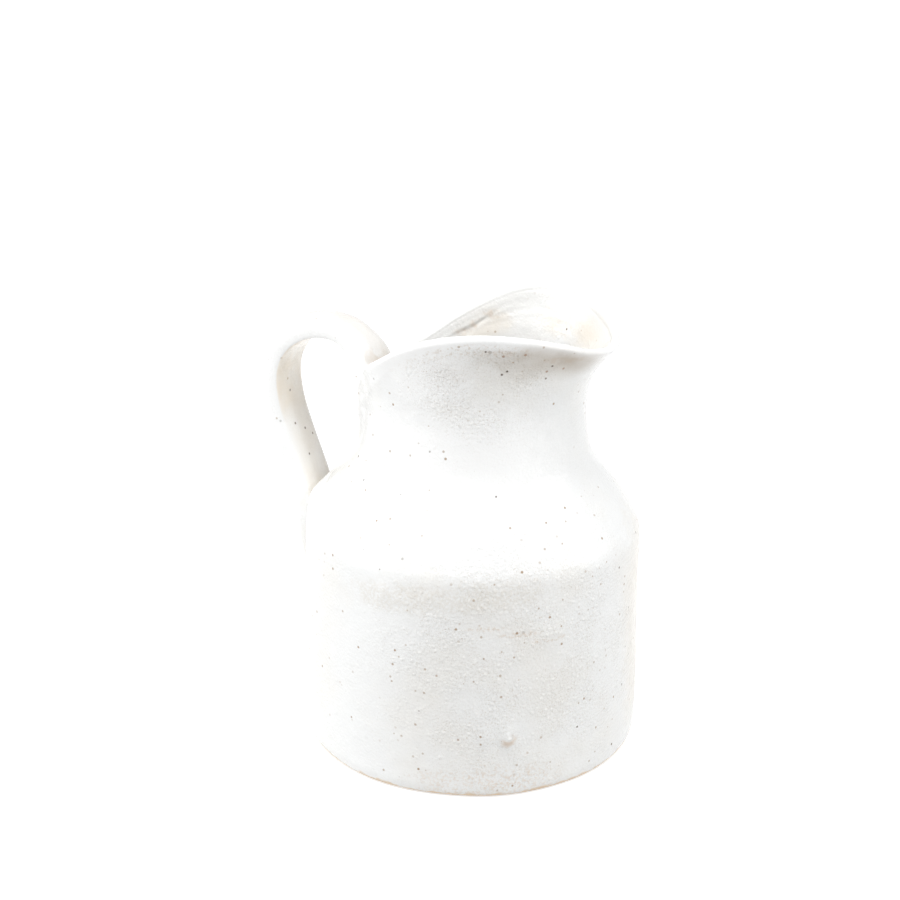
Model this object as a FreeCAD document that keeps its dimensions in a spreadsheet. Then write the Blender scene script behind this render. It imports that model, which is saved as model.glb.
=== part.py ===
import FreeCAD, Part
import Sketcher
import math
import os

# A hand-thrown pouring jug in white speckled glaze, in millimetres.
# The origin is the centre of the flat base, +Z is up and +X points from the axis to the spout.

doc = FreeCAD.newDocument("pouring_jug")

SIZES = [
    # the thrown body
    ("foot_radius", 61.0),
    ("foot_bevel", 1.6),
    ("shoulder_radius", 60.1),
    ("shoulder_height", 83.8),
    ("shoulder_round", 25.0),
    ("neck_radius", 39.3),
    ("shoulder_rise", 25.3),
    ("neck_root_round", 22.0),
    ("neck_rise", 18.9),
    ("wall_thickness", 4.5),
    ("neck_wall", 3.6),
    ("floor_thickness", 6.0),
    ("floor_bevel", 6.0),
    # the pouring lip
    ("lip_flare", 4.7),
    ("spout_reach", 11.7),
    ("crest_rise", 31.8),
    ("crest_forward", 20.0),
    ("rim_rise_at_handle", 5.0),
    ("rim_rise_at_spout", 24.0),
    # the strap handle
    ("strap_width", 20.0),
    ("strap_thickness", 7.0),
    ("strap_crest_rise", 17.4),
    ("strap_set_in", 0.5),
    ("strap_inner_bend", 20.5),
    ("strap_bow_stand", 16.8),
    ("strap_bow_radius", 70.0),
    ("strap_bow_drop", 23.8),
    ("strap_tail_radius", 72.0),
    ("strap_bevel", 2.0),
    ("strap_tail_bevel", 2.4),
    # the luting clay at the two joints
    ("upper_lute_drop", 8.9),
    ("upper_lute_bulge", 3.6),
    ("upper_lute_half_width", 11.4),
    ("upper_lute_slope", 2.0),
    ("lower_lute_rise", 2.8),
    ("lower_lute_bulge", 3.2),
    ("lower_lute_half_width", 13.4),
    ("lower_lute_slope", 2.0),
    # how far a cutting form runs past what it cuts
    ("overrun", 8.0),
]

sheet = doc.addObject("Spreadsheet::Sheet", "Sizes")
for row, (alias, value) in enumerate(SIZES, start=1):
    sheet.set("A%d" % row, alias)
    sheet.set("B%d" % row, str(value))
    sheet.setAlias("B%d" % row, alias)
doc.recompute()

FULL_TURN = 360
TOLERANCE_SHARE = 1e-6


def origin_plane(body, role):
    """One of the body's own origin planes."""
    return next(item for item in body.Origin.OriginFeatures if item.Role == role)


def new_body(label):
    body = doc.addObject("PartDesign::Body", label)
    body.Label = label
    return body


def new_sketch(body, name, role):
    sketch = body.newObject("Sketcher::SketchObject", name)
    sketch.AttachmentSupport = (origin_plane(body, role), [""])
    sketch.MapMode = "FlatFace"
    return sketch


def number(expression):
    """What an expression over the sheet comes to."""
    result = sheet.evalExpression(expression.replace("Sizes.", ""))
    return float(getattr(result, "Value", result))


def bind(sketch, constraint, expression):
    """Adds a dimension and ties it to the sheet."""
    index = sketch.addConstraint(constraint)
    sketch.setExpression("Constraints[%d]" % index, expression)


def place_point(sketch, geometry, end, across, up):
    """Holds one point of a sketch at two sheet expressions from the origin."""
    if across == "0":
        sketch.addConstraint(Sketcher.Constraint("PointOnObject", geometry, end, -2))
    else:
        bind(sketch, Sketcher.Constraint("DistanceX", -1, 1, geometry, end, number(across)), across)
    if up == "0":
        sketch.addConstraint(Sketcher.Constraint("PointOnObject", geometry, end, -1))
    else:
        bind(sketch, Sketcher.Constraint("DistanceY", -1, 1, geometry, end, number(up)), up)


def arc_geometry(centre, radius, start, end):
    circle = Part.Circle(FreeCAD.Vector(centre[0], centre[1], 0), FreeCAD.Vector(0, 0, 1), radius)
    return Part.ArcOfCircle(circle, start, end)


def tangent_reach(corner, before, after, radius):
    """How far from a corner the round of a radius starts."""
    one, other = (before - corner).normalize(), (after - corner).normalize()
    return radius / math.tan(one.getAngle(other) / 2)


def outline_sketch(body, name, role, corners):
    """A closed outline; each corner is a pair of sheet expressions, and may have a round's too."""
    sketch = new_sketch(body, name, role)
    points = [FreeCAD.Vector(number(corner[0]), number(corner[1]), 0) for corner in corners]
    starts, ends = list(points), list(points)
    for index, corner in enumerate(corners):
        if len(corner) > 2:
            before, after = points[index - 1], points[(index + 1) % len(points)]
            reach = tangent_reach(points[index], before, after, number(corner[2]))
            ends[index] = points[index] + (before - points[index]).normalize() * reach
            starts[index] = points[index] + (after - points[index]).normalize() * reach
    lines = [sketch.addGeometry(Part.LineSegment(starts[index], ends[(index + 1) % len(points)]))
             for index in range(len(points))]
    for index, corner in enumerate(corners):
        before, line = lines[index - 1], lines[index]
        if len(corner) > 2:
            round_arc(sketch, before, line, points[index], ends[index], starts[index], corner)
        else:
            sketch.addConstraint(Sketcher.Constraint("Coincident", before, 2, line, 1))
            place_point(sketch, line, 1, corner[0], corner[1])
    return sketch


def round_arc(sketch, before, line, point, start, end, corner):
    """The round between two sides, with their corner held as a construction point."""
    radius, middle = number(corner[2]), (start + end) / 2
    half_chord = (end - start).Length / 2
    centre = middle + (middle - point).normalize() * math.sqrt(radius ** 2 - half_chord ** 2)
    start_angle, end_angle = (math.atan2(place.y - centre.y, place.x - centre.x)
                              for place in (start, end))
    turns_left = (end_angle - start_angle) % (2 * math.pi) < math.pi
    low, high = (start_angle, end_angle) if turns_left else (end_angle, start_angle)
    arc = sketch.addGeometry(arc_geometry(centre, radius, low, high))
    first, last = (1, 2) if turns_left else (2, 1)
    sketch.addConstraint(Sketcher.Constraint("Tangent", before, 2, arc, first))
    sketch.addConstraint(Sketcher.Constraint("Tangent", arc, last, line, 1))
    bind(sketch, Sketcher.Constraint("Radius", arc, radius), corner[2])
    mark = sketch.addGeometry(Part.Point(point), True)
    sketch.addConstraint(Sketcher.Constraint("PointOnObject", mark, 1, before))
    sketch.addConstraint(Sketcher.Constraint("PointOnObject", mark, 1, line))
    place_point(sketch, mark, 1, corner[0], corner[1])


def revolved(body, name, sketch):
    turned = body.newObject("PartDesign::Revolution", name)
    turned.Profile = sketch
    turned.ReferenceAxis = (sketch, ["V_Axis"])
    turned.Angle = FULL_TURN
    doc.recompute()
    return turned


# Where the neck begins and ends, and how far the wall turns in at the shoulder and back again.
NECK_ROOT_HEIGHT = "(Sizes.shoulder_height + Sizes.shoulder_rise)"
NECK_TOP_HEIGHT = "(Sizes.shoulder_height + Sizes.shoulder_rise + Sizes.neck_rise)"
SHOULDER_TURN = "atan((Sizes.shoulder_radius - Sizes.neck_radius) / Sizes.shoulder_rise)"
HALF_TURN_SLOPE = "tan(%s / 2)" % SHOULDER_TURN

# The cavity follows the outside at one wall's thickness, and the neck's wall is thinner.
INNER_WALL_RADIUS = "Sizes.foot_radius - Sizes.wall_thickness"
INNER_SHOULDER_RADIUS = "Sizes.shoulder_radius - Sizes.wall_thickness"
INNER_SHOULDER_HEIGHT = "Sizes.shoulder_height - Sizes.wall_thickness * " + HALF_TURN_SLOPE
INNER_NECK_RADIUS = "Sizes.neck_radius - Sizes.neck_wall"
INNER_NECK_ROOT_HEIGHT = NECK_ROOT_HEIGHT + " - Sizes.neck_wall * " + HALF_TURN_SLOPE
ABOVE_NECK = NECK_TOP_HEIGHT + " + Sizes.overrun"


def thrown_outside(body):
    """The outside of the thrown body as a filled form, from the base to the top of the neck."""
    outline = outline_sketch(body, body.Label + "_outline", "XZ_Plane", [
        ("0", "0"),
        ("Sizes.foot_radius - Sizes.foot_bevel", "0"),
        ("Sizes.foot_radius", "Sizes.foot_bevel"),
        ("Sizes.shoulder_radius", "Sizes.shoulder_height", "Sizes.shoulder_round"),
        ("Sizes.neck_radius", NECK_ROOT_HEIGHT, "Sizes.neck_root_round"),
        ("Sizes.neck_radius", NECK_TOP_HEIGHT),
        ("0", NECK_TOP_HEIGHT),
    ])
    return revolved(body, body.Label + "_turned", outline)


def hollowed(body, form):
    """Cuts the cavity out of the filled form."""
    outline = outline_sketch(body, body.Label + "_cavity_outline", "XZ_Plane", [
        ("0", "Sizes.floor_thickness"),
        (INNER_WALL_RADIUS + " - Sizes.floor_bevel", "Sizes.floor_thickness"),
        (INNER_WALL_RADIUS, "Sizes.floor_thickness + Sizes.floor_bevel"),
        (INNER_SHOULDER_RADIUS, INNER_SHOULDER_HEIGHT),
        (INNER_NECK_RADIUS, INNER_NECK_ROOT_HEIGHT),
        (INNER_NECK_RADIUS, ABOVE_NECK),
        ("0", ABOVE_NECK),
    ])
    cavity = body.newObject("PartDesign::Groove", body.Label + "_cavity")
    cavity.Profile = outline
    cavity.ReferenceAxis = (outline, ["V_Axis"])
    cavity.Angle = FULL_TURN
    doc.recompute()
    if cavity.Shape.Volume >= form.Shape.Volume:
        raise RuntimeError("the cavity cut nothing")


# The thrown body: one lump of clay pulled up on the wheel, with a flat wire-cut base.
thrown_body = new_body("thrown_body")
hollowed(thrown_body, thrown_outside(thrown_body))

# The same outside, filled, to seat the handle and the luting clay on.
body_form = new_body("body_form")
thrown_outside(body_form)


# The lip's laws: how many places on the rim shape it, how far up the wall its rings lie, how
# late the flare opens on the way up, and how fast the spout, and the flat place at the handle,
# fade out on either side. The rim is a half round in four bands.
LIP_PLACES = 24
RING_LEVEL_SHARES = (0.0, 0.2, 0.4, 0.6, 0.8, 1.0)
RIM_TURN_SHARES = (0.25, 0.5, 0.75)
FLARE_POWER = 1.8
FADE_POWER = 6


def size(alias):
    return float(sheet.get(alias))


def spout_share(turn):
    """One at the spout, nothing at the handle, for the angle from the spout."""
    return ((1 + math.cos(turn)) / 2) ** FADE_POWER


def rim_radius(turn):
    """The outside of the rim: the neck, a flare that dies out at the handle, and the spout."""
    flare = size("lip_flare") * (1 - spout_share(turn + math.pi))
    spout = (size("spout_reach") - size("lip_flare")) * spout_share(turn)
    return size("neck_radius") + flare + spout


def rim_height(across):
    """The top of the rim in side view: two arcs that meet level at the crest."""
    from_crest = across - size("crest_forward")
    if from_crest < 0:
        run = size("crest_forward") + size("neck_radius")
        drop = size("crest_rise") - size("rim_rise_at_handle")
    else:
        run = size("neck_radius") + size("spout_reach") - size("crest_forward")
        drop = size("crest_rise") - size("rim_rise_at_spout")
    arc_radius = (run * run + drop * drop) / (2 * drop)
    sagitta = arc_radius - math.sqrt(arc_radius * arc_radius - from_crest * from_crest)
    return number(NECK_TOP_HEIGHT) + size("crest_rise") - sagitta


def wall_place(turn, level_share, inset):
    """A place on one side of the lip's wall, from the neck's top to where the rim begins."""
    wall = size("neck_wall")
    radius = rim_radius(turn)
    low = number(NECK_TOP_HEIGHT)
    high = rim_height((radius - wall / 2) * math.cos(turn)) - wall / 2
    flare = (radius - size("neck_radius")) * level_share ** FLARE_POWER
    across = size("neck_radius") + flare - inset
    return FreeCAD.Vector(across, 0, low + (high - low) * level_share)


def rim_place(turn, turn_share):
    """A place on the rim's half round, from its outer side over the top to its inner side."""
    half_wall = size("neck_wall") / 2
    side = wall_place(turn, 1, half_wall)
    over = math.pi * turn_share
    return side + FreeCAD.Vector(math.cos(over), 0, math.sin(over)) * half_wall


def ring(place, *shape):
    """A closed smooth curve through one kind of place, taken right round the lip."""
    upright, origin = FreeCAD.Vector(0, 0, 1), FreeCAD.Vector(0, 0, 0)
    points = []
    for count in range(LIP_PLACES):
        turn = 2 * math.pi * count / LIP_PLACES
        about = FreeCAD.Rotation(upright, FreeCAD.Units.Quantity(turn, "rad"))
        points.append(about.multVec(place(turn, *shape)))
    curve = Part.BSplineCurve()
    curve.interpolate(points, PeriodicFlag=True)
    return Part.Wire([curve.toShape()])


# The pouring lip: the top of the same wall, thinned, flared, tipped up at the sides and drawn out
# to a spout. Its radius and height are laws of the angle, so it is lofted from ring to ring, up
# the outside, over the rim and down the inside.
lip_rings = [ring(wall_place, share, 0) for share in RING_LEVEL_SHARES]
lip_rings += [ring(rim_place, share) for share in RIM_TURN_SHARES]
lip_rings += [ring(wall_place, share, size("neck_wall")) for share in RING_LEVEL_SHARES[::-1]]
pouring_lip = doc.addObject("Part::Feature", "pouring_lip")
pouring_lip.Label = "pouring_lip"
pouring_lip.Shape = Part.makeLoft(lip_rings, True, True, True)

# What stands inside the middle of the neck's wall, up to where the rim begins at the handle.
neck_form = doc.addObject("Part::Cylinder", "neck_form")
neck_form.setExpression("Radius", "Sizes.neck_radius - Sizes.neck_wall / 2")
neck_form.setExpression("Height",
                        NECK_TOP_HEIGHT + " + Sizes.rim_rise_at_handle - Sizes.neck_wall / 2")
doc.recompute()


# Where the strap's middle line starts inside the neck's face, crests and stands furthest out.
STRAP_START = "(Sizes.neck_radius - Sizes.strap_set_in)"
STRAP_CREST_REACH = "(%s + Sizes.strap_inner_bend)" % STRAP_START
STRAP_CREST_HEIGHT = "(%s + Sizes.strap_crest_rise)" % NECK_TOP_HEIGHT
STRAP_OUTER_BEND = "(Sizes.shoulder_radius + Sizes.strap_bow_stand - %s)" % STRAP_CREST_REACH


def strap_path(body, name):
    """The strap's middle line in side view, from the neck over the crest down to the wall."""
    reach, crest = number(STRAP_CREST_REACH), number(STRAP_CREST_HEIGHT)
    inner, outer = size("strap_inner_bend"), number(STRAP_OUTER_BEND)
    bow, tail = size("strap_bow_radius"), size("strap_tail_radius")
    lean = math.asin(size("strap_bow_drop") / bow)
    bow_centre = (bow - reach - outer, crest - outer)
    bow_end = (bow_centre[0] - bow * math.cos(lean), bow_centre[1] - size("strap_bow_drop"))
    tail_shift = tail * (1 - math.cos(lean))
    line_end = (-size("shoulder_radius") - tail_shift,
                bow_end[1] - (-size("shoulder_radius") - tail_shift - bow_end[0]) / math.tan(lean))
    tail_centre = (line_end[0] - tail * math.cos(lean), line_end[1] - tail * math.sin(lean))

    sketch = new_sketch(body, name, "XZ_Plane")
    quarter, half = math.pi / 2, math.pi
    first = sketch.addGeometry(arc_geometry((-reach, crest - inner), inner, 0, quarter))
    second = sketch.addGeometry(arc_geometry((-reach, crest - outer), outer, quarter, half))
    third = sketch.addGeometry(arc_geometry(bow_centre, bow, half, half + lean))
    line = sketch.addGeometry(Part.LineSegment(FreeCAD.Vector(*bow_end, 0),
                                               FreeCAD.Vector(*line_end, 0)))
    last = sketch.addGeometry(arc_geometry(tail_centre, tail, 0, lean))
    for one, its_end, other, other_end in ((first, 2, second, 1), (second, 2, third, 1),
                                           (third, 2, line, 1), (line, 2, last, 2)):
        sketch.addConstraint(Sketcher.Constraint("Tangent", one, its_end, other, other_end))
    for arc, radius in ((first, "Sizes.strap_inner_bend"), (second, STRAP_OUTER_BEND),
                        (third, "Sizes.strap_bow_radius"), (last, "Sizes.strap_tail_radius")):
        bind(sketch, Sketcher.Constraint("Radius", arc, number(radius)), radius)
    sketch.addConstraint(Sketcher.Constraint("Horizontal", first, 3, first, 1))
    sketch.addConstraint(Sketcher.Constraint("Horizontal", second, 3, second, 2))
    sketch.addConstraint(Sketcher.Constraint("Horizontal", last, 3, last, 1))
    sketch.addConstraint(Sketcher.Constraint("Vertical", first, 3, first, 2))
    place_point(sketch, first, 2, "-" + STRAP_CREST_REACH, STRAP_CREST_HEIGHT)
    bind(sketch, Sketcher.Constraint("DistanceY", third, 2, third, 1, size("strap_bow_drop")),
         "Sizes.strap_bow_drop")

    # the wall's face behind the handle, which the strap's tail comes down on
    foot = FreeCAD.Vector(-size("foot_radius"), 0, 0)
    shoulder = FreeCAD.Vector(-size("shoulder_radius"), size("shoulder_height"), 0)
    wall = sketch.addGeometry(Part.LineSegment(foot, shoulder), True)
    place_point(sketch, wall, 1, "-Sizes.foot_radius", "0")
    place_point(sketch, wall, 2, "-Sizes.shoulder_radius", "Sizes.shoulder_height")
    sketch.addConstraint(Sketcher.Constraint("PointOnObject", last, 1, wall))
    for axis, label in (("DistanceX", "tail_reach"), ("DistanceY", "tail_height")):
        place = line_end[0] if axis == "DistanceX" else line_end[1]
        index = sketch.addConstraint(Sketcher.Constraint(axis, -1, 1, last, 1, place))
        sketch.setDriving(index, False)
        sketch.renameConstraint(index, label)
    return sketch


def strap_section(body, name):
    """The strap cut across at its upper end: flat faces and bevelled edges."""
    middle = "-" + STRAP_START
    out, back = middle + " + Sizes.strap_thickness / 2", middle + " - Sizes.strap_thickness / 2"
    flat_out, flat_back = out + " - Sizes.strap_bevel", back + " + Sizes.strap_bevel"
    side, flat_side = "Sizes.strap_width / 2", "Sizes.strap_width / 2 - Sizes.strap_bevel"
    sketch = outline_sketch(body, name, "XY_Plane", [
        (out, "-(%s)" % flat_side), (out, flat_side),
        (flat_out, side), (flat_back, side),
        (back, flat_side), (back, "-(%s)" % flat_side),
        (flat_back, "-(%s)" % side), (flat_out, "-(%s)" % side),
    ])
    sketch.setExpression("AttachmentOffset.Base.z",
                         STRAP_CREST_HEIGHT + " - Sizes.strap_inner_bend")
    return sketch


def end_edges(feature, level):
    """The edges that lie wholly at one height."""
    near = TOLERANCE_SHARE * number(NECK_TOP_HEIGHT)
    return ["Edge%d" % index for index, edge in enumerate(feature.Shape.Edges, start=1)
            if abs(edge.BoundBox.ZMin - level) < near and abs(edge.BoundBox.ZMax - level) < near]


# The strap as it is pulled, before it is set against the jug.
pulled_strap = new_body("pulled_strap")
path = strap_path(pulled_strap, "strap_path")
section = strap_section(pulled_strap, "strap_section")
doc.recompute()
swept = pulled_strap.newObject("PartDesign::AdditivePipe", "strap_swept")
swept.Profile = section
swept.Spine = path
doc.recompute()
tail = pulled_strap.newObject("PartDesign::Chamfer", "strap_tail")
tail.Base = (swept, end_edges(swept, swept.Shape.BoundBox.ZMin))
tail.setExpression("Size", "Sizes.strap_tail_bevel")
doc.recompute()


def cut(label, base, tool):
    """What is left of the first form outside the second."""
    result = doc.addObject("Part::Cut", label)
    result.Label = label
    result.Base = base
    result.Tool = tool
    doc.recompute()
    return result


def clay_pad(label, lute, wall, face, height):
    """A pad of soft clay with a sloping edge, from inside the wall's thickness out to its bulge."""
    pad = doc.addObject("Part::Cone", label)
    pad.setExpression("Radius1", "Sizes.%s_half_width" % lute)
    pad.setExpression("Radius2", "Sizes.%s_half_width - Sizes.%s_slope" % (lute, lute))
    pad.setExpression("Height", "%s + Sizes.%s_bulge" % (wall, lute))
    backwards = FreeCAD.Rotation(FreeCAD.Vector(0, 0, 1), FreeCAD.Vector(-1, 0, 0))
    pad.Placement = FreeCAD.Placement(FreeCAD.Vector(0, 0, 0), backwards)
    pad.setExpression("Placement.Base.x", "%s + %s" % (face, wall))
    pad.setExpression("Placement.Base.z", height)
    doc.recompute()
    return pad


# The strap handle: pulled clay, pressed on to the neck and the wall, so it ends on their faces.
strap_off_wall = cut("strap_off_wall", pulled_strap, body_form)
strap_off_neck = cut("strap_off_neck", strap_off_wall, neck_form)
strap_handle = cut("strap_handle", strap_off_neck, pouring_lip)

# The upper luting: soft clay smeared under and beside the strap's upper end, against the neck.
upper_pad = clay_pad("upper_pad", "upper_lute", "Sizes.neck_wall", "-Sizes.neck_radius",
                     STRAP_CREST_HEIGHT + " - Sizes.strap_inner_bend - Sizes.upper_lute_drop")
upper_off_wall = cut("upper_off_wall", upper_pad, body_form)
upper_handle_lute = cut("upper_handle_lute", upper_off_wall, pulled_strap)

# The lower luting: soft clay smeared round the strap's tail, against the wall.
lower_pad = clay_pad("lower_pad", "lower_lute", "Sizes.wall_thickness",
                     "strap_path.Constraints.tail_reach / 1mm",
                     "strap_path.Constraints.tail_height / 1mm + Sizes.lower_lute_rise")
lower_off_wall = cut("lower_off_wall", lower_pad, body_form)
lower_handle_lute = cut("lower_handle_lute", lower_off_wall, pulled_strap)

for item in doc.Objects:
    if "Invalid" in item.State or "Error" in item.State:
        raise RuntimeError("%s has not been built: %s" % (item.Label, item.State))

os.makedirs("parts", exist_ok=True)
for piece in (thrown_body, pouring_lip, strap_handle, upper_handle_lute, lower_handle_lute):
    shape = piece.Shape
    if shape.isNull() or not shape.isValid() or len(shape.Solids) != 1:
        raise RuntimeError("%s is not one valid solid" % piece.Label)
    shape.exportStep("parts/%s.step" % piece.Label)
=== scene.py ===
import math

import bpy
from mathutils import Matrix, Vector, noise


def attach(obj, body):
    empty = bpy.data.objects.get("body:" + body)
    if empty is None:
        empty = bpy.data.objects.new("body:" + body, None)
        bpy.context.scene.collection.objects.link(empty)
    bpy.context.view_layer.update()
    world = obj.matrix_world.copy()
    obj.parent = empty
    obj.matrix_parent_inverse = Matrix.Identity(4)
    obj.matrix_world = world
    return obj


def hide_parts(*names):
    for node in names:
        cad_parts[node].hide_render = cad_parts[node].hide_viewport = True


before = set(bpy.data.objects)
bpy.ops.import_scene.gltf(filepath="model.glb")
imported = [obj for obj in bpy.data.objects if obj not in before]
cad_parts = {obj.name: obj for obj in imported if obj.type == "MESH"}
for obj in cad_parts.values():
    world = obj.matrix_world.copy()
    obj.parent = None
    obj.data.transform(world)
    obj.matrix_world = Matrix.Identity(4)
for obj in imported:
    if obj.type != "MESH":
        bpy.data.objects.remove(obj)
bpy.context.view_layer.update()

bpy.ops.object.select_all(action="DESELECT")


# The thrown wall, from which the body and the pouring lip are parted further down.
# Stoneware pulled up on the wheel in one wall: flat base, straight side, round shoulder, neck.
# The mouth is pinched by hand into a spout in front and dips at the back for the handle.

class Shading:
    """The shader nodes of one material, or of the room, added by short names."""

    def __init__(self, owner):
        owner.use_nodes = True
        self.nodes = owner.node_tree.nodes
        self.links = owner.node_tree.links

    def give(self, socket, value):
        """Gives a socket another node's output or a plain value."""
        if isinstance(value, bpy.types.NodeSocket):
            self.links.new(value, socket)
        elif socket.type == "RGBA":
            socket.default_value = (*value, 1)
        else:
            socket.default_value = value

    def add(self, kind, sockets=None, **properties):
        """Adds one node: its properties are set first, because some of them change its sockets."""
        made = self.nodes.new(kind)
        for name, value in properties.items():
            setattr(made, name, value)
        for name, value in (sockets or {}).items():
            self.give(made.inputs[name], value)
        return made

    def reckon(self, operation, values):
        """Takes two or more values together by one operation, from the left."""
        result = values[0]
        for value in values[1:]:
            result = self.add("ShaderNodeMath", {0: result, 1: value},
                              operation=operation).outputs["Value"]
        return result

    def times(self, *values):
        return self.reckon("MULTIPLY", values)

    def plus(self, *values):
        return self.reckon("ADD", values)

    def minus(self, *values):
        return self.reckon("SUBTRACT", values)

    def most(self, *values):
        return self.reckon("MAXIMUM", values)

    def vector(self, operation, *values):
        """One vector operation; a length or a dot product comes out as a number."""
        made = self.add("ShaderNodeVectorMath", dict(enumerate(values)), operation=operation)
        return made.outputs["Value" if operation in ("LENGTH", "DOT_PRODUCT") else "Vector"]

    def ramp(self, value, start, end):
        """0 at the start and 1 at the end, whichever of the two is the larger."""
        return self.add("ShaderNodeMapRange",
                        {"Value": value, "From Min": start, "From Max": end},
                        interpolation_type="SMOOTHSTEP").outputs["Result"]

    def mixed(self, share, first, second):
        """The first colour where share is 0 and the second where it is 1."""
        return self.add("ShaderNodeMix", {0: share, 6: first, 7: second},
                        data_type="RGBA").outputs[2]

    def plain_sight(self):
        """1 for rays from the camera, off a gloss or through glass, and 0 for all others."""
        path = self.add("ShaderNodeLightPath").outputs
        return self.most(path["Is Camera Ray"], path["Is Glossy Ray"],
                         path["Is Transmission Ray"])


class Glaze(Shading):
    """White glaze over speckled stoneware; its marks are told by their place on the jug.

    Places and lengths are in metres, x runs from the handle to the spout, and each tint lies
    over those before it.
    """

    def __init__(self, name, thick_white=(0.865, 0.873, 0.873), thin_white=(0.85, 0.845, 0.825)):
        self.material = bpy.data.materials.new(name)
        super().__init__(self.material)
        self.surface = self.nodes["Principled BSDF"]
        self.find_places()
        self.ground(thick_white, thin_white)
        self.sand()
        self.specks()
        self.marks_under_lip()
        self.marks_inside()
        self.marks_on_wall()
        self.brown_marks()
        self.placed_specks()
        self.gloss_and_relief()

    def tint(self, share, colour):
        """Lays a colour over what is there, by a share."""
        self.colour = self.mixed(share, self.colour, colour)
        self.give(self.surface.inputs["Base Color"], self.colour)

    def texture(self, scale, detail, **sockets):
        """Cloudy noise, with this many clouds to the metre."""
        sockets = {"Vector": self.place, "Scale": scale, "Detail": detail, **sockets}
        return self.add("ShaderNodeTexNoise", sockets).outputs["Fac"]

    def grains(self, scale):
        """Scattered grains: the distance from the nearest one, and its three chances."""
        found = self.add("ShaderNodeTexVoronoi", {"Vector": self.place, "Scale": scale}).outputs
        chances = self.add("ShaderNodeSeparateColor", {"Color": found["Color"]}).outputs
        return found["Distance"], chances

    def near(self, centre, spread, ragged=0.0):
        """1 at a place on the piece, falling to 0 over the spread in each direction."""
        full, none = 0.35, 1.0
        away = self.vector("LENGTH", self.vector(
            "DIVIDE", self.vector("SUBTRACT", self.place, centre), spread))
        if ragged:
            away = self.plus(away, self.times(self.texture(300, 4), ragged))
        return self.ramp(away, none + ragged / 2, full + ragged / 2)

    def near_any(self, centres, spread, ragged=0.0):
        """1 at any of several places on the piece."""
        return self.most(*(self.near(centre, spread, ragged) for centre in centres))

    def find_places(self):
        """Where a point lies on the jug, and the textures that several marks share."""
        coordinates = self.add("ShaderNodeTexCoord").outputs
        self.place, self.normal = coordinates["Object"], coordinates["Normal"]
        self.x, self.y, self.z = self.add("ShaderNodeSeparateXYZ", {"Vector": self.place}).outputs

        from_axis = self.vector("MULTIPLY", self.place, (1.0, 1.0, 0.0))
        outward = self.vector("DOT_PRODUCT", from_axis, self.normal)
        self.outer_face = self.ramp(outward, -0.004, 0.006)
        self.inner_face = self.ramp(outward, -0.002, -0.026)

        crest_x, crest_z, arch = 0.019, 0.1597, 11.2
        from_crest = self.minus(self.x, crest_x)
        self.under_rim = self.minus(crest_z, self.z, self.times(from_crest, from_crest, arch))

        self.clouds = self.texture(38, 5)
        self.patches = self.texture(70, 3)
        self.ragged_edge = self.texture(260, 4)
        self.crumbs = self.texture(1000, 3)

    def ground(self, thick_white, thin_white):
        """The glaze in thick and thin clouds, and the painted light and shade that lie in it."""
        self.colour = thick_white
        self.tint(self.ramp(self.clouds, 0.42, 0.68), thin_white)

        # Painted shade: grey laid over the front of the wall; the same place also leads the sand
        # below.
        painted_front_shade = (0.50, 0.47, 0.43)
        self.front = self.near((0.032, -0.052, 0.047), (0.052, 0.046, 0.062), 0.5)
        self.tint(self.times(self.front, 0.085), painted_front_shade)

        # Painted light: the far inside wall is whitened where the neck shades it.
        painted_inside_light = (0.98, 0.975, 0.955)
        far_inside = self.near((-0.002, 0.035, 0.138), (0.034, 0.018, 0.024))
        self.tint(self.times(far_inside, self.inner_face, 0.9), painted_inside_light)

        # Painted light: whiter colour on the neck, in the hollow under the lip and on the rim's
        # round, where they lie in shade.
        painted_neck_and_rim_light = (0.96, 0.965, 0.965)
        on_neck = self.near((0.016, -0.037, 0.118), (0.056, 0.034, 0.024), 0.5)
        under_lip = self.near((-0.004, -0.042, 0.148), (0.026, 0.018, 0.018), 0.4)
        along_rim = self.times(self.ramp(self.under_rim, 0.0030, 0.0006), 0.9)
        self.tint(self.times(self.most(on_neck, under_lip, along_rim), 0.9), painted_neck_and_rim_light)

        # Painted light: a warm bounce laid on the right side of the wall.
        painted_warm_bounce = (0.80, 0.72, 0.60)
        right_side = self.near((0.0590, 0.0120, 0.048), (0.022, 0.024, 0.055), 0.5)
        self.tint(self.times(right_side, 0.42), painted_warm_bounce)

    def sand(self):
        """Sand in the clay: it shows through the glaze in patches, and some grains stand proud."""
        grainy_side = self.near((0.044, -0.034, 0.048), (0.048, 0.052, 0.062), 0.5)
        below_lip = self.near((0.022, -0.042, 0.146), (0.044, 0.030, 0.027), 0.5)
        below_lip = self.times(below_lip, self.outer_face, self.ramp(self.under_rim, 0.0004, 0.0035))
        share = self.most(self.front, grainy_side, self.times(below_lip, 1.4))
        patchy = self.plus(self.times(self.ramp(self.patches, 0.35, 0.60), 0.6), 0.4)
        self.sandy_share = self.times(self.plus(self.times(share, 0.8), 0.2), patchy)

        grit = self.texture(1900, 2, Roughness=0.7)
        veiled_sand = self.mixed(0.22, self.colour, (0.51, 0.45, 0.37))
        self.tint(self.times(self.ramp(grit, 0.44, 0.66), self.sandy_share), veiled_sand)
        dark_sand = (0.42, 0.31, 0.20)
        self.tint(self.times(self.ramp(grit, 0.60, 0.70), self.sandy_share, 0.34), dark_sand)

        light_grain = (0.965, 0.955, 0.935)
        distance, chances = self.grains(620)
        self.proud = self.times(self.ramp(distance, 0.55, 0.10),
                                self.ramp(chances["Blue"], 0.45, 0.75), self.sandy_share)
        self.tint(self.times(self.proud, 0.55), light_grain)

    def specks(self):
        """Iron specks: larger dark ones all over, and fine brown ones that follow the sand."""
        dark_iron, brown_iron = (0.12, 0.08, 0.05), (0.34, 0.22, 0.12)

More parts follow.
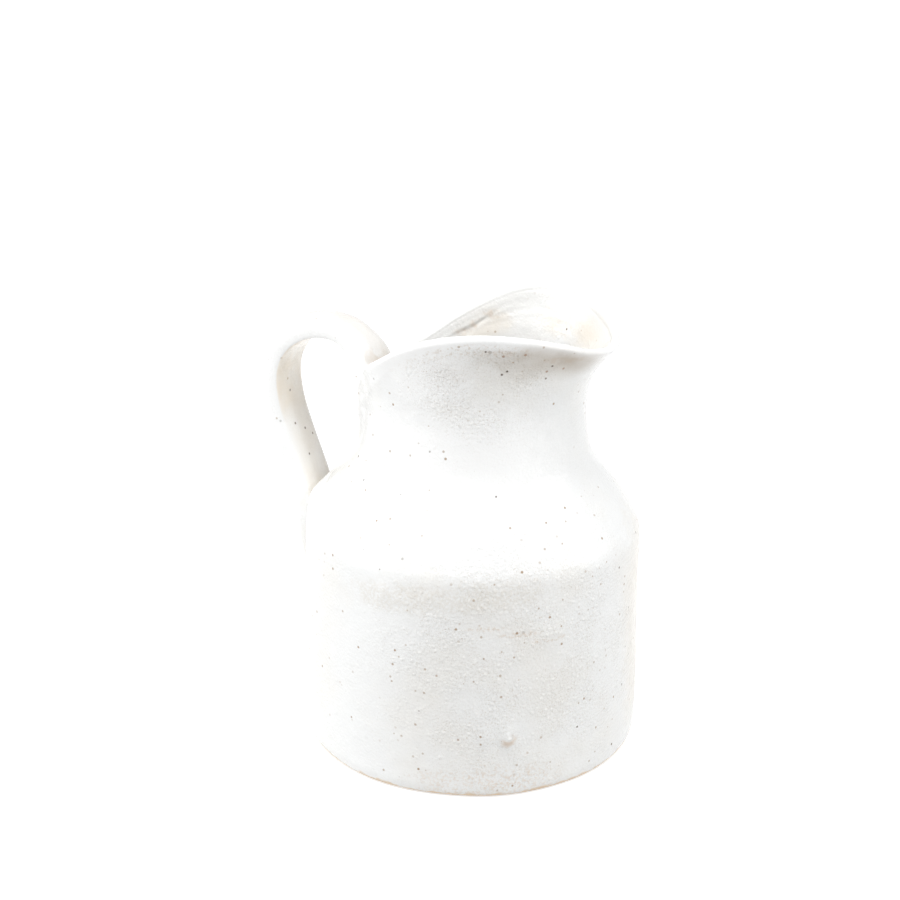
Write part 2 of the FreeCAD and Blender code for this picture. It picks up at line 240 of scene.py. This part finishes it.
        distance, chances = self.grains(130)
        radius = self.plus(self.times(self.patches, 0.11), 0.012)
        self.speck = self.times(self.ramp(self.minus(radius, distance), 0.0, 0.02),
                                self.ramp(chances["Red"], 0.50, 0.53))
        depth = self.plus(self.times(chances["Blue"], 0.75), 0.18)
        self.tint(self.times(self.speck, depth), dark_iron)

        distance, chances = self.grains(330)
        chance = self.plus(chances["Green"], self.times(self.sandy_share, 0.34))
        fine_speck = self.times(self.ramp(distance, 0.20, 0.10), self.ramp(chance, 0.85, 0.89))
        depth = self.plus(self.times(chances["Red"], 0.75), 0.16)
        self.tint(self.times(fine_speck, depth), brown_iron)

    def marks_under_lip(self):
        """Thin glaze and painted shade under the lip, crumbs along the rim and brown dabs between."""
        clay_and_painted_shade, crumb_brown, dab_brown = (0.42, 0.35, 0.27), (0.50, 0.38, 0.26), (0.48, 0.34, 0.21)

        # Painted shade and thin glaze: the hollow under the lip is darkened towards clay, more on the
        # right.
        lower_to_right = self.times(self.ramp(self.x, 0.022, 0.038), 0.0055)
        under = self.plus(self.under_rim, lower_to_right)
        hollow = self.times(self.ramp(under, 0.0008, 0.0075), self.ramp(under, 0.0195, 0.0090),
                            self.ramp(self.y, -0.002, -0.018), self.ramp(self.x, -0.004, 0.022),
                            self.outer_face)
        share = self.plus(self.times(self.ramp(self.patches, 0.35, 0.65), 0.24), 0.13,
                          self.times(self.ramp(self.x, 0.020, 0.036), 0.40))
        self.tint(self.times(hollow, share), clay_and_painted_shade)

        along_rim = self.times(self.ramp(self.under_rim, 0.0058, 0.0030),
                               self.ramp(self.under_rim, -0.0006, 0.0012))
        in_front = self.times(self.ramp(self.y, -0.030, -0.038), self.ramp(self.x, -0.022, 0.012))
        rim_crumbs = self.times(along_rim, in_front, self.ramp(self.crumbs, 0.50, 0.68))
        self.tint(self.times(rim_crumbs, 0.38), crumb_brown)

        dabs = self.near_any([
            (0.0177, -0.0405, 0.1560), (0.0244, -0.0370, 0.1560), (0.0308, -0.0338, 0.1562),
            (0.0385, -0.0255, 0.1520), (0.0430, -0.0195, 0.1513)], (0.006, 0.006, 0.0016), 1.0)
        dabs = self.times(dabs, self.ramp(self.ragged_edge, 0.40, 0.62), self.outer_face)
        self.tint(self.times(dabs, 0.24), dab_brown)

    def marks_inside(self):
        """Creamy glaze along the fold in the far rim, and painted shade by the spout and on the far
        rim.
        """
        cream, painted_warm_shade, painted_far_rim_shade = (0.84, 0.72, 0.56), (0.78, 0.71, 0.61), (0.79, 0.785, 0.765)

        along_fold = self.near_any([
            (0.0187, 0.0337, 0.1475), (0.0350, 0.0235, 0.1490),
            (-0.0100, 0.0365, 0.1430), (-0.0140, 0.0345, 0.1395)], (0.012, 0.010, 0.0075), 0.6)
        self.tint(self.times(along_fold, self.inner_face, 0.34), cream)

        # Painted shade: a warm shade inside, by the spout.
        by_spout = self.near((0.0370, 0.0190, 0.1480), (0.024, 0.024, 0.018), 0.6)
        self.tint(self.times(by_spout, self.inner_face, 0.50), painted_warm_shade)

        # Painted shade: grey laid on the top of the far rim.
        far_rim = self.times(self.ramp(self.under_rim, 0.0100, 0.0045),
                             self.ramp(self.y, 0.002, 0.012))
        self.tint(self.times(far_rim, 0.7), painted_far_rim_shade)

    def marks_on_wall(self):
        """The beige band under the shoulder and the thin brown line across the front."""
        beige, line_brown = (0.58, 0.50, 0.38), (0.50, 0.33, 0.18)

        band = self.near_any([
            (0.002, -0.0605, 0.0735), (-0.009, -0.060, 0.0725), (0.013, -0.0590, 0.0745),
            (0.024, -0.0555, 0.0765), (0.035, -0.0495, 0.0765)], (0.015, 0.015, 0.0070), 1.0)
        self.tint(self.times(band, self.ramp(self.crumbs, 0.30, 0.62), 0.23), beige)

        line = self.near_any([
            (0.027, -0.054, 0.0648), (0.037, -0.048, 0.0622), (0.046, -0.040, 0.0590)],
            (0.010, 0.010, 0.0013), 0.9)
        self.tint(self.times(line, self.ramp(self.crumbs, 0.42, 0.62), 0.32), line_brown)

    def brown_marks(self):
        """Bare clay at the foot, and brown on a rough patch, round the lump and in the fold."""
        foot_clay, iron_brown = (0.78, 0.57, 0.34), (0.53, 0.36, 0.21)

        ragged_height = self.plus(self.z, self.times(self.ragged_edge, 0.0040))
        foot = self.ramp(ragged_height, 0.0042, 0.0028)
        self.tint(self.times(foot, 0.75), foot_clay)

        rough_patch = self.near((0.030, -0.052, 0.005), (0.036, 0.030, 0.011), 1.0)
        rough_patch = self.times(rough_patch, self.ramp(self.crumbs, 0.46, 0.66))
        lump = self.near((0.0350, -0.0505, 0.0226), (0.0036, 0.0036, 0.0030), 1.2)
        lump_top = self.near((0.0351, -0.0511, 0.0240), (0.0024, 0.0024, 0.0019))
        round_lump = self.times(lump, self.minus(1.0, lump_top))
        fold = self.near_any([
            (-0.0188, 0.0326, 0.1386), (-0.0138, 0.0354, 0.1416), (-0.0088, 0.0376, 0.1456)],
            (0.0045, 0.006, 0.0024), 0.9)
        fold = self.times(fold, self.ramp(self.ragged_edge, 0.38, 0.60))
        self.brown = self.most(self.times(foot, 0.20), self.times(rough_patch, 0.34),
                               self.times(round_lump, 0.52), self.times(fold, 0.34))
        self.tint(self.brown, iron_brown)

    def placed_specks(self):
        """The specks that catch the eye, each at its own place: reddish ones and black ones."""
        red_iron, black_iron = (0.33, 0.19, 0.11), (0.07, 0.04, 0.02)
        red_radius, black_radius = 0.0007, 0.00055

        reddish = self.near_any([
            (0.0244, -0.0367, 0.1549), (0.0307, -0.0331, 0.1552), (0.0396, -0.0206, 0.1482),
            (0.0354, -0.0251, 0.1478), (0.0195, -0.0583, 0.0232), (0.0120, -0.0602, 0.0470)],
            (red_radius,) * 3, 0.3)
        self.tint(self.times(reddish, 0.75), red_iron)

        black = self.near_any([
            (0.0225, 0.0310, 0.1454), (0.0285, -0.0345, 0.1602), (0.0194, -0.0398, 0.1566),
            (0.0249, -0.0343, 0.1492), (0.0233, -0.0349, 0.1480), (0.0371, -0.0247, 0.1500)],
            (black_radius,) * 3)
        self.tint(black, black_iron)

    def gloss_and_relief(self):
        """Gloss that dulls with the clouds and on brown, and relief from sand, swells and specks."""
        sand_rise, swell_rise, grain_rise, speck_rise = 0.00016, 0.0005, 0.00022, -0.00012

        dullness = self.plus(self.times(self.clouds, 0.16), 0.12, self.times(self.brown, 0.4))
        self.give(self.surface.inputs["Roughness"], dullness)

        sandy = self.times(self.texture(1000, 2), self.plus(self.times(self.sandy_share, 2.6), 0.4))
        swell = self.texture(110, 3)
        relief = self.plus(self.times(sandy, sand_rise), self.times(swell, swell_rise),
                           self.times(self.proud, grain_rise), self.times(self.speck, speck_rise))
        bump = self.add("ShaderNodeBump", {"Height": relief, "Strength": 0.9, "Distance": 1.0})
        self.give(self.surface.inputs["Normal"], bump.outputs["Normal"])


def only(item):
    """Selects one object and makes it the one that is worked on."""
    bpy.ops.object.select_all(action="DESELECT")
    item.select_set(True)
    bpy.context.view_layer.objects.active = item


def smoothed(item, levels):
    """Subdivides a piece, closes its seams, turns its faces outward and shades it smooth."""
    only(item)
    if levels:
        modifier = item.modifiers.new("smooth", "SUBSURF")
        modifier.levels = levels
        modifier.render_levels = levels
        bpy.ops.object.modifier_apply(modifier=modifier.name)
    bpy.ops.object.mode_set(mode="EDIT")
    bpy.ops.mesh.select_all(action="SELECT")
    bpy.ops.mesh.remove_doubles(threshold=0.000001)
    bpy.ops.mesh.normals_make_consistent(inside=False)
    bpy.ops.object.mode_set(mode="OBJECT")
    bpy.ops.object.shade_smooth_by_angle(angle=math.radians(40))


# RIM, FOLD, WALL_FORM and STRAP_STATIONS are in millimetres, and all other lengths in metres.
PER_METRE = 1000

# Radius and height of the rim's middle, every 15 degrees from the handle right round: first
# along the near side to the spout, then along the far side back.
RIM = [
    (37.6, 130.6), (38.0, 131.4), (39.1, 134.4), (40.2, 139.4), (41.4, 145.0), (42.0, 151.4),
    (42.4, 156.2), (43.1, 158.8), (44.0, 159.4), (45.3, 157.9), (46.8, 154.8), (48.2, 151.0),
    (49.0, 149.0), (48.4, 149.6), (46.6, 151.6), (44.8, 153.9), (43.4, 155.8), (42.7, 156.0),
    (42.1, 153.4), (41.6, 148.6), (41.0, 142.9), (40.0, 137.2), (38.9, 133.2), (38.0, 131.0),
]


def eased(share, before, here, after, beyond):
    """A smooth run from the second of four values to the third."""
    bend = 2 * before - 5 * here + 4 * after - beyond
    twist = 3 * (here - after) + beyond - before
    return here + share * (after - before + share * (bend + share * twist)) / 2


def rim_place(turn):
    """Radius and height of the rim's middle at an angle from the spout."""
    step = (math.degrees(turn) + 180) / 360 * len(RIM)
    first = math.floor(step)
    places = [RIM[(first + count) % len(RIM)] for count in (-1, 0, 1, 2)]
    return [eased(step - first, *values) / PER_METRE for values in zip(*places)]


def ripple(place, round_scale, upward_scale):
    """Smooth noise from -1 to 1, with a scale round the jug's axis and another along it."""
    outward = Vector((place.x, place.y, 0)).normalized()
    return noise.noise(outward * round_scale + Vector((0, 0, place.z * upward_scale)))


def wall_wobble(place):
    """The uneven hand of the thrower: slow swells, and fine rings from the fingers."""
    swell_height, ring_height = 0.00042, 0.00013
    return (swell_height * ripple(place, round_scale=2.2, upward_scale=26)
            + ring_height * ripple(place, round_scale=0.5, upward_scale=420))


# The fold inside the far rim: its angle from the spout in degrees, and its depth below the rim.
# It is deepest by the handle, starts softly there, and fades to a trace towards the spout.
FOLD = [(126, 4.0), (121, 4.25), (114, 5.25), (110, 4.5), (103.5, 3.75), (98.5, 2.75),
        (93, 2.6), (84, 3.5), (72, 5.75), (66, 6.2)]
FOLD_DEPTH = 0.00030
FOLD_TRACE = 0.12
FOLD_HALF_WIDTH = 0.0009
FOLD_START, FOLD_START_RUN = 126, 6
FOLD_FADE, FOLD_FADE_RUN = 96, 12


def fold(angle, under_rim):
    """How far the fold is pressed into the wall at an angle and a depth below the rim."""
    for (one, upper_drop), (other, lower_drop) in zip(FOLD, FOLD[1:]):
        if other <= angle <= one:
            drop = upper_drop + (lower_drop - upper_drop) * (one - angle) / (one - other)
            off = (under_rim - drop / PER_METRE) / FOLD_HALF_WIDTH
            share = min(1.0, (FOLD_START - angle) / FOLD_START_RUN,
                        (angle - FOLD_FADE) / FOLD_FADE_RUN)
            uneven = 1 + 0.8 * noise.noise(Vector((angle * 0.35, 0, 0)))
            return FOLD_DEPTH * max(FOLD_TRACE, share) * uneven * math.exp(-off * off)
    return 0.0


# Lumps and crumbs of clay on the wall: angle from the spout in degrees, height, size and rise.
LUMPS = [
    (-55.4, 0.0236, 0.0023, 0.0018), (-62.9, 0.0234, 0.0016, 0.0009),
    (-40.5, 0.0613, 0.0030, 0.0009), (-44.0, 0.0600, 0.0014, 0.0008),
    (-98.0, 0.0740, 0.0030, 0.0005), (-52.0, 0.0370, 0.0013, 0.0006),
    (-70.0, 0.0520, 0.0012, 0.0006), (-60.0, 0.0480, 0.0012, 0.0006),
    (-60.3, 0.1488, 0.0012, 0.0008), (-33.1, 0.1503, 0.0010, 0.0006),
]
LUMP_REACH = 0.01


def with_lumps(across, turn, height):
    """The distance from the axis at one place, with the lumps that push it outward there."""
    for lump_angle, lump_height, lump_size, rise in LUMPS:
        if abs(height - lump_height) < LUMP_REACH:
            along = (turn - math.radians(lump_angle)) * across
            away = math.hypot(along, height - lump_height) / lump_size
            across += rise * math.exp(-away * away)
    return across


# Radius and height of the wall as it is thrown, before the mouth is shaped: out over the base,
# up the outside, over the rim, and down the inside to the middle of the floor. The rings lie
# closer together where the fold is pressed in.
WALL_FORM = [
    (20, 0), (42, 0),
    (58.6, 0), (60.4, 0.5), (61.2, 2.2), (61.3, 8), (61.3, 20), (61.2, 35), (61.1, 50),
    (60.6, 64), (60.4, 74), (60.2, 80), (59.4, 82.8), (57.8, 85.2), (55.1, 89.4),
    (51.2, 94.6), (46.0, 100.8), (41.9, 106.5), (40.3, 113), (39.5, 120), (39.3, 128),
    (39.3, 136), (39.3, 146), (39.3, 155), (39.3, 158.2), (38.9, 159.6), (37.5, 160.3),
    (36.1, 159.6), (35.7, 158.2), *((35.7, 157.2 - 1.2 * count) for count in range(7)),
    (35.7, 148), (35.7, 140), (35.7, 130), (35.9, 120), (37, 112), (40, 104), (46, 97),
    (51.5, 90.5), (54.8, 84), (56.3, 74), (56.8, 60), (56.8, 40), (56.6, 22), (55.5, 13),
    (51, 8.2), (42, 6.4), (20, 6), (4, 6),
]
START_RADIUS = 0.004

bpy.ops.mesh.primitive_circle_add(vertices=96, radius=START_RADIUS, fill_type="TRIFAN")
wall = bpy.context.object
wall.name = "jug_body"
bpy.ops.object.mode_set(mode="EDIT")
bpy.ops.mesh.select_all(action="DESELECT")
bpy.ops.mesh.select_non_manifold()
ring_radius, ring_height = START_RADIUS, 0.0
for radius, height in WALL_FORM:
    radius, height = radius / PER_METRE, height / PER_METRE
    bpy.ops.mesh.extrude_region_move(
        TRANSFORM_OT_translate={"value": (0, 0, height - ring_height)})
    growth = radius / ring_radius
    bpy.ops.transform.resize(value=(growth, growth, 1), center_override=(0, 0, height))
    ring_radius, ring_height = radius, height
bpy.ops.mesh.edge_face_add()
bpy.ops.mesh.poke()
bpy.ops.object.mode_set(mode="OBJECT")
smoothed(wall, 2)

# The neck's outside and the middle of its wall, the heights at which the mouth starts to open
# and the rim to turn over, how far the rim's round lies above RIM, and how late the mouth opens.
NECK_RADIUS = 0.0393
NECK_MIDDLE = 0.0375
FLARE_START = 0.122
RIM_START = 0.1582
RIM_LIFT = 0.0007
FLARE_POWER = 2.6

# Nearer to the axis than this the wobble dies out, so that the floor's middle stays flat.
FULL_WOBBLE_RADIUS = 0.03

# How far inside NECK_RADIUS a point lies at most to take lumps, and at least to take the fold.
LUMP_INSET = 0.0002
FOLD_INSET = 0.0025

for vertex in wall.data.vertices:
    place = vertex.co
    turn = math.atan2(place.y, place.x)
    across = math.hypot(place.x, place.y)
    inset = NECK_RADIUS - across
    height = place.z
    if height > FLARE_START:
        straight = min(height, RIM_START)
        level = (straight - FLARE_START) / (RIM_START - FLARE_START)
        rim_radius, rim_height = rim_place(turn)
        across += (rim_radius - NECK_MIDDLE) * level ** FLARE_POWER
        raised = FLARE_START + level * (rim_height + RIM_LIFT - FLARE_START)
        height = raised + (height - straight)
        if inset > FOLD_INSET:
            across += fold(math.degrees(turn), rim_height - height)
    across += wall_wobble(place) * min(1.0, across / FULL_WOBBLE_RADIUS)
    if inset < LUMP_INSET:
        across = with_lumps(across, turn, height)
    vertex.co = (across * math.cos(turn), across * math.sin(turn), height)

wall.data.materials.append(Glaze("glaze_white").material)


# The pouring lip: the upper part of the thrown wall, parted from the body at the neck's top.
# It has the same clay and glaze, a rounded rim, a pinched spout and a low back.

PARTING_HEIGHT = 0.128

only(wall)
bpy.ops.object.duplicate()
lip = bpy.context.object
lip.name = "jug_lip"
for piece, above in ((lip, True), (wall, False)):
    only(piece)
    bpy.ops.object.mode_set(mode="EDIT")
    bpy.ops.mesh.select_all(action="SELECT")
    bpy.ops.mesh.bisect(plane_co=(0, 0, PARTING_HEIGHT), plane_no=(0, 0, 1),
                        clear_inner=above, clear_outer=not above)
    bpy.ops.mesh.select_all(action="DESELECT")
    bpy.ops.mesh.select_non_manifold()
    bpy.ops.mesh.bridge_edge_loops()
    bpy.ops.object.mode_set(mode="OBJECT")
    smoothed(piece, 0)
lip.data.materials.clear()
lip.data.materials.append(Glaze("glaze_lip").material)
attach(lip, "root")
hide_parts("pouring_lip")
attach(wall, "root")
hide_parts("thrown_body")


# The strap handle: a pulled strap of the same clay, pressed on below the rim and on the wall.
# White glaze, thinner and creamier on its inner face, pooled brown at the upper end.

# From the neck over the crest down to the wall: x and height of the outer face, x and height
# of the inner face, and width.
STRAP_STATIONS = [
    (-36.3, 132.4, -37.9, 118.5, 28.0), (-37.4, 136.0, -40.0, 123.4, 26.5),
    (-39.8, 140.2, -42.0, 128.8, 24.0), (-43.7, 143.9, -44.3, 134.4, 21.8),
    (-48.5, 146.8, -47.2, 139.4, 20.6), (-53.4, 148.5, -51.5, 141.9, 20.0),
    (-58.6, 149.3, -57.4, 142.2, 20.0), (-64.2, 149.0, -62.2, 141.0, 20.0),
    (-69.8, 147.0, -66.2, 138.2, 20.0), (-75.0, 142.9, -69.6, 134.9, 20.0),
    (-78.6, 136.8, -72.0, 130.8, 20.0), (-80.4, 130.0, -73.1, 126.6, 20.0),
    (-80.8, 122.5, -73.2, 121.8, 20.0), (-80.6, 115.0, -72.3, 116.0, 20.0),
    (-79.6, 108.2, -70.9, 110.5, 20.0), (-77.8, 102.6, -68.9, 105.2, 20.0),
    (-75.4, 97.4, -66.9, 99.6, 20.0), (-72.9, 91.8, -64.6, 93.6, 20.2),
    (-71.0, 86.0, -62.2, 87.0, 20.6), (-69.6, 79.6, -60.2, 80.6, 21.4),
    (-68.0, 71.5, -59.0, 72.5, 22.4), (-66.0, 62.5, -58.5, 63.4, 24.0),
    (-64.0, 56.0, -58.2, 56.8, 24.6), (-62.0, 51.6, -58.0, 52.4, 22.0),
    (-60.2, 48.8, -58.0, 49.4, 15.0),
]
STATION_STEP = 0.005
SIDE_POWER = 0.62
OUTER_POWER = 0.85
INNER_POWER = 0.38


def rounded(share, power):
    """A share from -1 to 1 pushed towards its ends, which squares a round section."""
    return math.copysign(abs(share) ** power, share)


bpy.ops.mesh.primitive_circle_add(vertices=32, radius=0.01, fill_type="NGON")
strap = bpy.context.object
strap.name = "jug_handle"
bpy.ops.object.mode_set(mode="EDIT")
bpy.ops.mesh.select_all(action="SELECT")
for _ in STRAP_STATIONS[1:]:
    bpy.ops.mesh.extrude_region_move(TRANSFORM_OT_translate={"value": (0, 0, STATION_STEP)})
bpy.ops.object.mode_set(mode="OBJECT")
for vertex in strap.data.vertices:
    turn = math.atan2(vertex.co.y, vertex.co.x)
    station = STRAP_STATIONS[round(vertex.co.z / STATION_STEP)]
    outer_x, outer_z, inner_x, inner_z, width = (size / PER_METRE for size in station)
    sideways = rounded(math.cos(turn), SIDE_POWER) * width / 2
    thick = math.sin(turn)
    thick = (1 + rounded(thick, OUTER_POWER if thick > 0 else INNER_POWER)) / 2
    vertex.co = (inner_x + (outer_x - inner_x) * thick, sideways,
                 inner_z + (outer_z - inner_z) * thick)
smoothed(strap, 2)

# The sway's noise is drawn from the clock unless it has a seed.
SWAY, GRAIN = 0.0004, 0.00015
noise.seed_set(1)
for vertex in strap.data.vertices:
    place = vertex.co.copy()
    sway = noise.noise_vector(place * 60)
    grain = noise.noise(Vector((place.x * 20, place.y * 500, place.z * 20)))
    vertex.co = place + sway * SWAY + vertex.normal * grain * GRAIN

CREAM = (0.90, 0.77, 0.59)
POOLED_BROWN = (0.62, 0.46, 0.29)
PAINTED_TOP_SHADE = (0.66, 0.60, 0.52)
STRAP_IRON = (0.12, 0.07, 0.04)
glaze = Glaze("glaze_strap", (0.905, 0.91, 0.905), (0.885, 0.87, 0.835))
thin_glaze = glaze.texture(110, 4)

inward = glaze.vector("DOT_PRODUCT", glaze.normal, (0.86, 0.0, -0.5))
creamy = glaze.plus(glaze.times(thin_glaze, 0.7), 0.16)
glaze.tint(glaze.times(glaze.ramp(inward, 0.50, 0.80), creamy), CREAM)

pooled = glaze.near((-0.0375, -0.003, 0.1370), (0.0050, 0.012, 0.0040), 1.0)
pooled = glaze.times(pooled, glaze.ramp(thin_glaze, 0.40, 0.60))
glaze.tint(glaze.times(pooled, 0.32), POOLED_BROWN)

# Painted shade: the strap's far top, where it faces up, is darkened towards beige.
upward = glaze.vector("DOT_PRODUCT", glaze.normal, (0.3, 0.0, 0.95))
far_top = glaze.times(glaze.ramp(glaze.y, -0.006, 0.001), glaze.ramp(upward, 0.1, 0.6))
painted_shade_share = glaze.plus(glaze.times(thin_glaze, 0.5), 0.12)
glaze.tint(glaze.times(far_top, painted_shade_share), PAINTED_TOP_SHADE)

strap_specks = glaze.near_any([
    (-0.0696, -0.0040, 0.1069), (-0.0683, 0.0010, 0.1036), (-0.0672, 0.0050, 0.1004),
    (-0.0727, -0.0020, 0.1187), (-0.0651, -0.0020, 0.0949)], (0.0007, 0.0007, 0.0007))
glaze.tint(glaze.times(strap_specks, 0.85), STRAP_IRON)

strap.data.materials.append(glaze.material)
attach(strap, "root")
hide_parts("strap_handle")


# The upper smear: soft clay wiped from the strap's upper end on to the neck.
# The same clay and glaze; it closes the joint with a hollow curve on each side.

OUTSIDE = 0.2
SMEAR_THICKNESS = 0.0012
EDGE_SINK = 0.0005
UNEVEN_RISE = 0.0004
RIM_OVERLAP = 0.0008
RIM_FADE = 0.004


def wall_face(turn, level):
    """The outside of the thrown wall at an angle and a height, as a distance from the axis."""
    outward = Vector((math.cos(turn), math.sin(turn), 0))
    thrown = wall if level < PARTING_HEIGHT else lip
    start = outward * OUTSIDE + Vector((0, 0, level))
    found, place, _, _ = thrown.ray_cast(start, -outward)
    return math.hypot(place.x, place.y) if found else NECK_RADIUS


def smear(name, bottom, top, half_width, pressed, run_out, rise):
    """A patch over the wall, thick where the strap was pressed on and wiped out all round.

    It is pressed to a half width and between two heights; without a top it ends at the rim.
    """
    pressed_wide, pressed_low, pressed_high = pressed
    bpy.ops.mesh.primitive_grid_add(x_subdivisions=80, y_subdivisions=50, size=2)
    patch = bpy.context.object
    patch.name = name
    bottom_radius = wall_face(math.pi, bottom)
    for vertex in patch.data.vertices:
        sideways, upward = vertex.co.x * half_width, (vertex.co.y + 1) / 2
        turn = math.pi + sideways / bottom_radius
        turn -= 2 * math.pi if turn > math.pi else 0
        highest = top or rim_place(turn)[1] + RIM_OVERLAP
        level = bottom + upward * (highest - bottom)
        away = math.hypot(max(0, abs(sideways) - pressed_wide),
                          max(0, pressed_low - level, level - pressed_high))
        share = max(0.0, 1 - away / run_out)
        share = share * share * (3 - 2 * share)
        uneven = UNEVEN_RISE * noise.noise(Vector((sideways * 160, level * 160, 0.3)))
        swell = (rise + uneven) * share - EDGE_SINK * (1 - share)
        at_rim = max(0.0, 1 - (highest - level) / RIM_FADE) ** 3
        swell = swell * (1 - at_rim) - RIM_OVERLAP * at_rim
        radius = wall_face(turn, level) + swell
        vertex.co = (radius * math.cos(turn), radius * math.sin(turn), level)
    modifier = patch.modifiers.new("depth", "SOLIDIFY")
    modifier.thickness = SMEAR_THICKNESS
    modifier.offset = -1
    only(patch)
    bpy.ops.object.modifier_apply(modifier=modifier.name)
    smoothed(patch, 1)
    return patch


upper = smear("jug_upper_smear", bottom=0.1045, top=None, half_width=0.036,
              pressed=(0.0100, 0.124, 0.150), run_out=0.023, rise=0.0032)
smear_white = Glaze("glaze_smear").material
upper.data.materials.append(smear_white)
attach(upper, "root")
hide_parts("upper_handle_lute")


# The lower smear: soft clay wiped round the strap's tail on to the wall.
# The same clay and glaze as the upper one, and narrower.

lower = smear("jug_lower_smear", bottom=0.034, top=0.101, half_width=0.031,
              pressed=(0.0070, 0.056, 0.080), run_out=0.020, rise=0.0030)
lower.data.materials.append(smear_white)
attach(lower, "root")
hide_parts("lower_handle_lute")


# The floor: a white sheet that runs out of the picture and keeps the jug's faint shadow.
# It glows a little more with distance, so that it meets the room without a line.

FLOOR_SIDE = 14
FLOOR_GLOW, FAR_GLOW = 0.66, 0.14

bpy.ops.mesh.primitive_plane_add(size=FLOOR_SIDE, location=(0, 0, 0))
floor = bpy.context.object
floor.name = "floor"
floor_white = bpy.data.materials.new("floor_white")
sheet = Shading(floor_white)
surface = sheet.nodes["Principled BSDF"].inputs
sheet.give(surface["Base Color"], (0.66, 0.66, 0.655))
sheet.give(surface["Roughness"], 0.9)
sheet.give(surface["Emission Color"], (1, 1, 1))
reach = sheet.vector("LENGTH", sheet.add("ShaderNodeTexCoord").outputs["Object"])
glow = sheet.plus(sheet.times(sheet.ramp(reach, 0.9, 2.6), FAR_GLOW), FLOOR_GLOW)
sheet.give(surface["Emission Strength"], sheet.times(sheet.plain_sight(), glow))
floor.data.materials.append(floor_white)


# The light: large soft lamps to the left, to the right and overhead, and a plain white room.
# The room is pure white to the camera and in reflections, and dimmer as a light.

ROOM_LIGHT, ROOM_SEEN_MORE = 0.44, 0.56

world = bpy.data.worlds.new("room")
bpy.context.scene.world = world
room = Shading(world)
background = room.nodes["Background"].inputs
seen = room.times(room.plain_sight(), ROOM_SEEN_MORE)
room.give(background["Strength"], room.plus(seen, ROOM_LIGHT))
room.give(background["Color"], (1, 1, 1))

LIT_PLACE = Vector((0, 0, 0.07))
LAMPS = (
    ("left_lamp", (-1.25, -0.50, 0.60), (0.9, 1.0), 9.3),
    ("right_lamp", (1.25, 0.15, 0.65), (0.9, 1.0), 5.5),
    ("top_lamp", (0.10, -0.50, 1.45), (1.2, 1.0), 15.6),
)
for name, place, sides, watts in LAMPS:
    aim = (LIT_PLACE - Vector(place)).to_track_quat("-Z", "Y").to_euler()
    bpy.ops.object.light_add(type="AREA", location=place, rotation=aim)
    lamp = bpy.context.object
    lamp.name = name
    lamp.data.shape = "RECTANGLE"
    lamp.data.size, lamp.data.size_y = sides
    lamp.data.energy = watts


# The camera: a long lens a little above the rim, looking down at the spout's near side.
# Its place and lens were fitted to the foot's ellipse, the rim and the two sides.

CAMERA_PLACE = (0.22476, -0.55631, 0.3327)
CAMERA_TURN = [math.radians(angle) for angle in (69.2883, -0.7202, 23.1023)]

bpy.ops.object.camera_add(location=CAMERA_PLACE, rotation=CAMERA_TURN)
camera = bpy.context.object
camera.name = "camera"
camera.data.lens = 71.88
camera.data.sensor_width = 36
bpy.context.scene.camera = camera
bpy.context.scene.view_settings.view_transform = "Standard"
